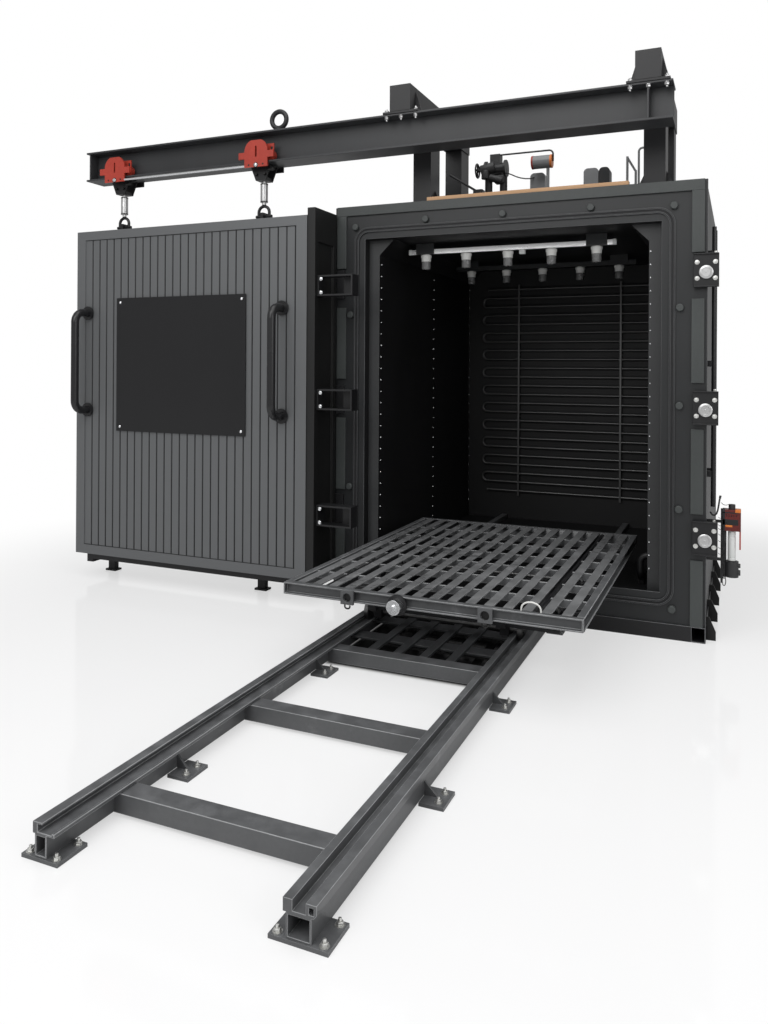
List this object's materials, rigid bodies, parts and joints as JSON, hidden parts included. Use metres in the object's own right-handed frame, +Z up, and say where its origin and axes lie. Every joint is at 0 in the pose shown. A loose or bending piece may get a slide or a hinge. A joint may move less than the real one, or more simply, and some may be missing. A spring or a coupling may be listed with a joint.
{
  "type": "transformer drying oven",
  "caption": "Walk-in drying oven with a sliding door on an overhead beam, a floor track, a transfer carriage and a slatted load platform.",
  "frame": {"origin": "on the floor, under the middle of the oven's front face", "axes": "+X to the right along the front, +Y into the oven, +Z up"},
  "size_m": [3.93, 4.678, 2.886],
  "materials": {
    "black_steel": "satin black paint",
    "graphite_skin": "satin graphite paint",
    "door_paint": "satin grey paint",
    "track_steel": "satin grey primer, worn",
    "heater_steel": "heat darkened steel",
    "galvanised": "galvanised",
    "porcelain": "glazed",
    "lamp_glass": "grey frosted glass",
    "sign_black": "satin black plate, bare",
    "bright_steel": "bright plated steel",
    "trolley_red": "red enamel",
    "wheel_steel": "turned steel",
    "tan_strip": "tan sealing strip",
    "instrument_grey": "grey enamel"
  },
  "bodies": {
    "oven": {"base_frame": "black_steel", "floor_panel": "graphite_skin", "left_wall": "graphite_skin", "right_wall": "graphite_skin", "back_wall": "graphite_skin", "roof_panel": "graphite_skin", "face_frame": "graphite_skin", "front_border": "graphite_skin", "seal_channel": "graphite_skin", "stop_pads": "graphite_skin", "left_duct": "graphite_skin", "right_duct": "graphite_skin", "heater_coil": "heater_steel", "heater_bars": "heater_steel", "lamp_rails": "galvanised", "lamp_holders": "porcelain", "lamp_jars": "lamp_glass", "chamber_rails": "black_steel", "chamber_pipe": "heater_steel", "edge_clamps": "black_steel", "side_ribs": "black_steel", "door_panel": "door_paint", "door_side_frame": "black_steel", "door_handles": "black_steel", "sign_plate": "sign_black", "door_base": "black_steel", "door_brackets": "black_steel", "turnbuckles": "bright_steel", "door_shackles": "black_steel", "runway_beam": "black_steel", "beam_columns": "black_steel", "beam_arms": "black_steel", "lifting_eye": "black_steel", "trolleys": "trolley_red", "trolley_yokes": "black_steel", "tie_bar": "bright_steel", "left_rail": "track_steel", "right_rail": "track_steel", "track_rungs": "track_steel", "track_bed": "track_steel", "track_feet": "track_steel", "roof_curb": "tan_strip", "roof_valve": "black_steel", "roof_instruments": "instrument_grey", "side_conduits": "black_steel", "service_unit": "black_steel", "service_block": "trolley_red"},
    "carriage": {"carriage_frame": "black_steel"},
    "carriage_front_wheels": {"carriage_front_axle": "wheel_steel"},
    "carriage_rear_wheels": {"carriage_rear_axle": "wheel_steel"},
    "platform": {"platform_rim": "track_steel", "platform_forks": "track_steel", "platform_cross_bars": "track_steel", "platform_slats": "track_steel", "platform_lugs": "track_steel", "coupling_hub": "bright_steel"},
    "platform_front_wheels": {"platform_front_axle": "wheel_steel"},
    "platform_rear_wheels": {"platform_rear_axle": "wheel_steel"}
  },
  "joints": [
    {"name": "carriage_travel", "type": "slide", "parent": "oven", "child": "carriage", "axis": [0, 1, 0], "range_m": [-1.4, 0]},
    {"name": "platform_travel", "type": "slide", "parent": "carriage", "child": "platform", "axis": [0, 1, 0], "range_m": [0, 1.165]},
    {"name": "carriage_front_roll", "type": "hinge", "parent": "carriage", "child": "carriage_front_wheels", "pos_m": [-0.15, -0.56, 0.1243], "axis": [1, 0, 0], "continuous": true},
    {"name": "carriage_rear_roll", "type": "hinge", "parent": "carriage", "child": "carriage_rear_wheels", "pos_m": [-0.15, -0.13, 0.1243], "axis": [1, 0, 0], "continuous": true},
    {"name": "platform_front_roll", "type": "hinge", "parent": "platform", "child": "platform_front_wheels", "pos_m": [-0.03, -0.6, 0.2803], "axis": [1, 0, 0], "continuous": true},
    {"name": "platform_rear_roll", "type": "hinge", "parent": "platform", "child": "platform_rear_wheels", "pos_m": [-0.03, -0.15, 0.2803], "axis": [1, 0, 0], "continuous": true}
  ],
  "couplings": [
    {"joint": "carriage_front_roll", "follows": "carriage_travel", "rad_per_m": -22.222},
    {"joint": "carriage_rear_roll", "follows": "carriage_travel", "rad_per_m": -22.222},
    {"joint": "platform_front_roll", "follows": "platform_travel", "rad_per_m": -22.222},
    {"joint": "platform_rear_roll", "follows": "platform_travel", "rad_per_m": -22.222}
  ]
}
